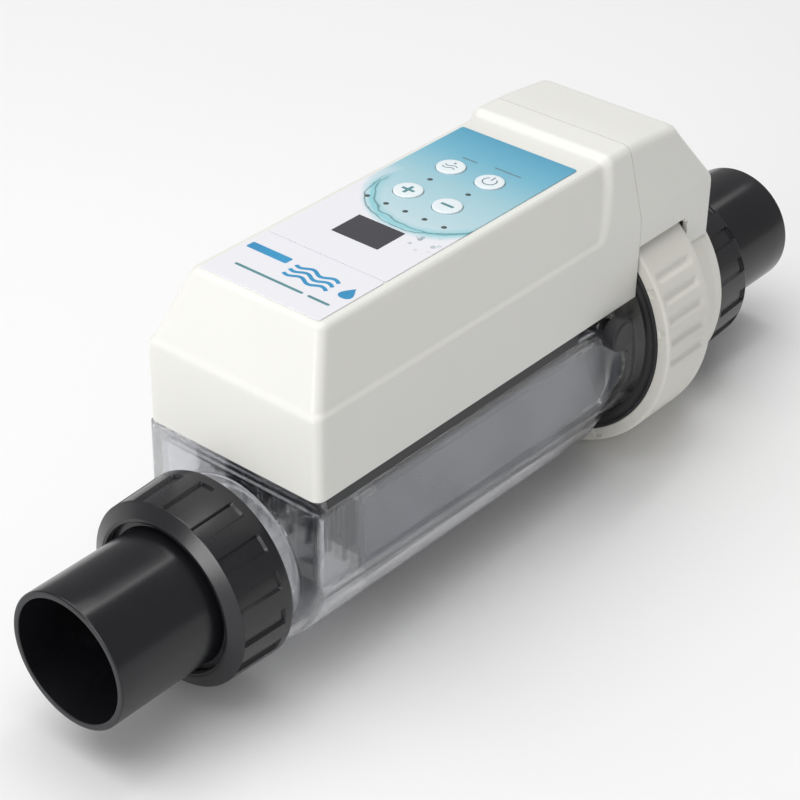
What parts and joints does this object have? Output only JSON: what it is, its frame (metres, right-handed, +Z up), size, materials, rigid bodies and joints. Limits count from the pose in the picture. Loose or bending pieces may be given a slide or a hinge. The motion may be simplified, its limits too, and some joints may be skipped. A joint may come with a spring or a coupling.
{
  "type": "salt chlorine generator",
  "caption": "Inline salt chlorine generator: clear electrode cell between two threaded unions, a screw lock ring, and a control unit with keypad and display on top.",
  "frame": {"origin": "centre of the inlet spigot's end face, on the pipe axis", "axes": "+X along the water flow from inlet to outlet, +Z up towards the control unit, +Y to the cable gland's side"},
  "size_m": [0.4612, 0.1308, 0.1631],
  "materials": {
    "clear_housing": "clear polycarbonate, faint blue grey",
    "white_plastic": "satin off-white moulding",
    "ring_plastic": "satin warm white moulding",
    "black_plastic": "semi-gloss black PVC",
    "tray_plastic": "matt black moulding",
    "seal_rubber": "black rubber",
    "sensor_plastic": "matt black moulding",
    "electrode_titanium": "coated titanium, dark grey",
    "comb_plastic": "white moulding",
    "stud_titanium": "turned titanium",
    "zinc_steel": "zinc-plated steel",
    "label_film": "printed polyester film",
    "lcd_glass": "dark display window",
    "lcd_frame": "display block",
    "key_cap": "white key",
    "light_pipe": "smoked light pipe",
    "circuit_board": "green circuit board",
    "switch_plastic": "black switch body",
    "brass_pillar": "brass pillar",
    "heat_sink_metal": "natural aluminium",
    "relay_plastic": "blue relay case",
    "capacitor_sleeve": "dark sleeve",
    "choke_winding": "enamelled copper",
    "terminal_plastic": "green terminal block",
    "ribbon_grey": "grey ribbon cable",
    "lead_red": "red insulated lead",
    "lead_black": "black insulated lead"
  },
  "bodies": {
    "root": {"cell_head": "ring_plastic", "head_oring": "seal_rubber", "outlet_oring": "seal_rubber", "head_shroud": "ring_plastic", "anode_plates": "electrode_titanium", "cathode_plates": "electrode_titanium", "plate_combs": "comb_plastic", "anode_stud": "stud_titanium", "cathode_stud": "stud_titanium", "stud_seals": "seal_rubber", "stud_nuts": "zinc_steel", "anode_lead": "lead_red", "cathode_lead": "lead_black", "base_tray": "tray_plastic", "tray_gasket": "seal_rubber", "control_cover": "white_plastic", "rear_cap": "white_plastic", "cover_screws": "zinc_steel", "cap_screws": "zinc_steel", "key_label": "label_film", "lcd_window": "lcd_glass", "lcd_module": "lcd_frame", "status_leds": "light_pipe", "control_board": "circuit_board", "key_switches": "switch_plastic", "control_board_screws": "zinc_steel", "power_board": "circuit_board", "power_standoffs": "brass_pillar", "heat_sink": "heat_sink_metal", "polarity_relays": "relay_plastic", "filter_capacitors": "capacitor_sleeve", "supply_choke": "choke_winding", "terminal_block": "terminal_plastic", "board_cable": "ribbon_grey", "cable_gland": "tray_plastic", "gland_nut": "tray_plastic", "gland_locknut": "tray_plastic", "gland_seal": "seal_rubber"},
    "housing": {"cell_housing": "clear_housing", "inlet_oring": "seal_rubber", "flow_sensor": "sensor_plastic", "sensor_seal": "seal_rubber"},
    "lock_ring": {"lock_ring": "ring_plastic", "collar_seal": "seal_rubber"},
    "inlet_tail": {"inlet_tailpiece": "black_plastic"},
    "inlet_nut": {"inlet_union_nut": "black_plastic"},
    "outlet_tail": {"outlet_tailpiece": "black_plastic"},
    "outlet_nut": {"outlet_union_nut": "black_plastic"},
    "key_plus": {"key_plus": "key_cap"},
    "key_minus": {"key_minus": "key_cap"},
    "key_power": {"key_power": "key_cap"},
    "key_boost": {"key_boost": "key_cap"}
  },
  "joints": [
    {"name": "lock_ring_turn", "type": "hinge", "parent": "root", "child": "lock_ring", "pos_m": [0.32, 0, 0.0183], "axis": [1, 0, 0], "range_deg": [0, 1080]},
    {"name": "housing_slide", "type": "slide", "parent": "root", "child": "housing", "axis": [-1, 0, 0], "range_m": [0, 0.01205]},
    {"name": "inlet_tail_slide", "type": "slide", "parent": "housing", "child": "inlet_tail", "axis": [-1, 0, 0], "range_m": [0, 0.01205]},
    {"name": "inlet_nut_turn", "type": "hinge", "parent": "inlet_tail", "child": "inlet_nut", "pos_m": [0.06, 0, 0], "axis": [-1, 0, 0], "range_deg": [0, 1080]},
    {"name": "outlet_tail_slide", "type": "slide", "parent": "root", "child": "outlet_tail", "axis": [1, 0, 0], "range_m": [0, 0.01205]},
    {"name": "outlet_nut_turn", "type": "hinge", "parent": "outlet_tail", "child": "outlet_nut", "pos_m": [0.4, 0, 0], "axis": [1, 0, 0], "range_deg": [0, 1080]},
    {"name": "key_plus_press", "type": "slide", "parent": "root", "child": "key_plus", "axis": [0, 0, -1], "range_m": [0, 0.0005], "stiffness_N_per_m": 1500, "springref_m": -0.0005},
    {"name": "key_minus_press", "type": "slide", "parent": "root", "child": "key_minus", "axis": [0, 0, -1], "range_m": [0, 0.0005], "stiffness_N_per_m": 1500, "springref_m": -0.0005},
    {"name": "key_power_press", "type": "slide", "parent": "root", "child": "key_power", "axis": [0, 0, -1], "range_m": [0, 0.0005], "stiffness_N_per_m": 1500, "springref_m": -0.0005},
    {"name": "key_boost_press", "type": "slide", "parent": "root", "child": "key_boost", "axis": [0, 0, -1], "range_m": [0, 0.0005], "stiffness_N_per_m": 1500, "springref_m": -0.0005}
  ],
  "couplings": [
    {"joint": "housing_slide", "follows": "lock_ring_turn", "m_per_rad": 0.00063662},
    {"joint": "inlet_tail_slide", "follows": "inlet_nut_turn", "m_per_rad": 0.00063662},
    {"joint": "outlet_tail_slide", "follows": "outlet_nut_turn", "m_per_rad": 0.00063662}
  ]
}
